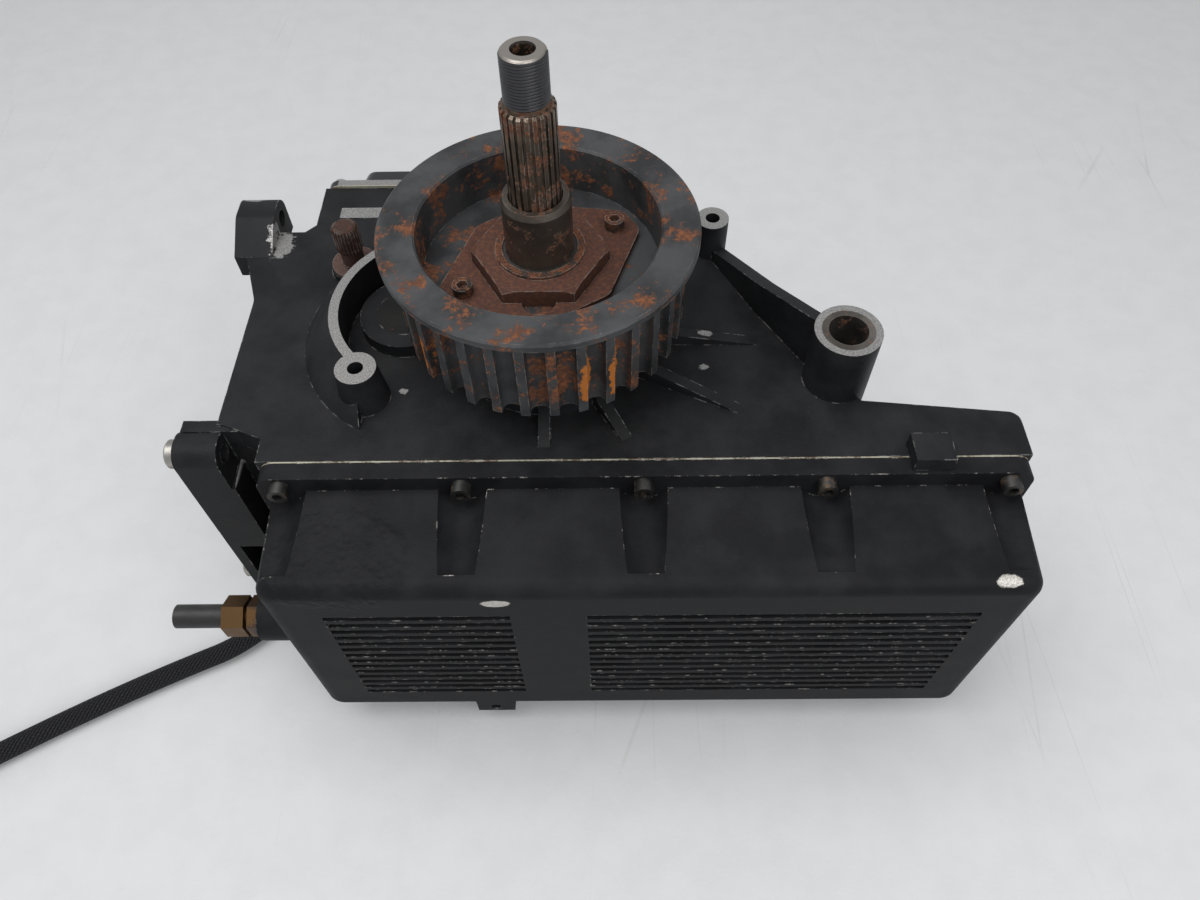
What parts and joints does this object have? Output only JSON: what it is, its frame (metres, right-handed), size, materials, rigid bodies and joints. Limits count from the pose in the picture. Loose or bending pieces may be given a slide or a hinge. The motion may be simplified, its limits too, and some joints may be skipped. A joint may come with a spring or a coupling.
{
  "type": "motorcycle transmission",
  "caption": "Motorcycle gearbox with belt pulley, splined input shaft, finned oil pan, side cover and clutch cable, lying on its right side.",
  "frame": {"origin": "on the mainshaft's axis, at the side cover's outer face, on which the part rests", "axes": "+Z along the mainshaft from the clutch release side to the belt pulley side; +X towards the pivot tube; +Y away from the oil pan"},
  "size_m": [0.7877, 0.3965, 0.3583],
  "materials": {
    "case_paint": "satin black, slightly dusty",
    "pan_paint": "satin black with a fine texture",
    "gloss_paint": "gloss black",
    "worn_steel": "worn, lightly stained",
    "bright_gasket": "bright edge",
    "dark_screw": "black oxide",
    "bright_screw": "polished",
    "sender_plastic": "matte black",
    "brass": "tarnished",
    "bearing_steel": "ground",
    "seal_rubber": "matte",
    "bare_aluminium": "as cast",
    "paper_gasket": "pressed paper",
    "gear_steel": "ground, oiled",
    "rusty_steel": "rusted",
    "pulley_steel": "dark plated, with rust",
    "shaft_steel": "stained",
    "cable_braid": "braided sleeve"
  },
  "bodies": {
    "case": {"gearcase": "case_paint", "pivot_sleeve": "worn_steel", "front_dowels": "worn_steel", "pan_gasket": "bright_gasket", "oil_pan": "pan_paint", "pan_screws": "dark_screw", "oil_sender": "sender_plastic", "sender_adapter": "brass", "top_cover_gasket": "bright_gasket", "top_cover": "gloss_paint", "top_cover_screws": "bright_screw", "neutral_switch": "brass", "filler_plug": "bright_screw", "main_bearing_outer_ring": "bearing_steel", "output_seal": "seal_rubber", "bearing_housing": "bare_aluminium", "right_side_gaskets": "paper_gasket", "housing_screws": "dark_screw", "side_cover": "gloss_paint", "side_cover_screws": "bright_screw", "right_bearing_outer_rings": "bearing_steel", "countershaft_needle_bearing": "bearing_steel", "shift_drum": "gear_steel", "fork_shaft": "gear_steel", "mainshaft_shift_forks": "gear_steel", "countershaft_shift_fork": "gear_steel", "shift_shaft_washer": "worn_steel", "cable_ferrule": "worn_steel", "clutch_cable": "cable_braid", "clutch_cable_coil": "cable_braid", "cable_end_fitting": "worn_steel"},
    "output": {"main_drive_gear": "gear_steel", "drive_pulley": "pulley_steel", "pulley_nut": "rusty_steel", "lock_plate": "rusty_steel", "lock_plate_screws": "dark_screw", "main_bearing_inner_ring": "bearing_steel", "drive_gear_seal": "seal_rubber", "drive_gear_needle_bearings": "bearing_steel"},
    "layshaft": {"countershaft": "gear_steel", "countershaft_nut": "gear_steel", "countershaft_gear_5": "gear_steel", "countershaft_gear_3": "gear_steel", "countershaft_gear_4": "gear_steel", "countershaft_right_bearing_inner_ring": "bearing_steel"},
    "third": {"mainshaft_gear_3": "gear_steel"},
    "fourth": {"mainshaft_gear_4": "gear_steel"},
    "input": {"mainshaft": "shaft_steel", "clutch_bearing_race": "worn_steel", "mainshaft_gear_1": "gear_steel", "mainshaft_gear_2": "gear_steel", "mainshaft_right_bearing_inner_ring": "bearing_steel", "mainshaft_nut": "gear_steel"},
    "first": {"countershaft_gear_1": "gear_steel"},
    "second": {"countershaft_gear_2": "gear_steel"},
    "shifter": {"shift_shaft": "rusty_steel"},
    "release_cam": {"release_ramp": "gear_steel"},
    "release_slider": {"sliding_ramp": "gear_steel", "throwout_bearing": "bearing_steel", "release_rod": "gear_steel"}
  },
  "joints": [
    {"name": "output_spin", "type": "hinge", "parent": "case", "child": "output", "pos_m": [0, 0, 0.23], "axis": [0, 0, 1], "continuous": true},
    {"name": "layshaft_spin", "type": "hinge", "parent": "case", "child": "layshaft", "pos_m": [-0.076, 0.014, 0.12], "axis": [0, 0, 1], "continuous": true},
    {"name": "third_spin", "type": "hinge", "parent": "case", "child": "third", "pos_m": [0, 0, 0.126], "axis": [0, 0, 1], "continuous": true},
    {"name": "fourth_spin", "type": "hinge", "parent": "case", "child": "fourth", "pos_m": [0, 0, 0.074], "axis": [0, 0, 1], "continuous": true},
    {"name": "input_spin", "type": "hinge", "parent": "case", "child": "input", "pos_m": [0, 0, 0.3], "axis": [0, 0, 1], "continuous": true},
    {"name": "first_spin", "type": "hinge", "parent": "case", "child": "first", "pos_m": [-0.076, 0.014, 0.1], "axis": [0, 0, 1], "continuous": true},
    {"name": "second_spin", "type": "hinge", "parent": "case", "child": "second", "pos_m": [-0.076, 0.014, 0.152], "axis": [0, 0, 1], "continuous": true},
    {"name": "shift_lever", "type": "hinge", "parent": "case", "child": "shifter", "pos_m": [-0.1115, 0.057, 0.2], "axis": [0, 0, 1], "range_deg": [-12, 12], "stiffness_Nm_per_rad": 2},
    {"name": "release_turn", "type": "hinge", "parent": "case", "child": "release_cam", "pos_m": [0, 0, 0.01], "axis": [0, 0, 1], "range_deg": [0, 35]},
    {"name": "release_push", "type": "slide", "parent": "case", "child": "release_slider", "axis": [0, 0, 1], "range_m": [0, 0.0021]}
  ],
  "couplings": [
    {"joint": "layshaft_spin", "follows": "output_spin", "ratio": -1.32},
    {"joint": "third_spin", "follows": "output_spin", "ratio": 1.5156},
    {"joint": "fourth_spin", "follows": "output_spin", "ratio": 1.232},
    {"joint": "first_spin", "follows": "input_spin", "ratio": -0.41463},
    {"joint": "second_spin", "follows": "input_spin", "ratio": -0.61111},
    {"joint": "release_turn", "follows": "release_push", "rad_per_m": 277}
  ]
}
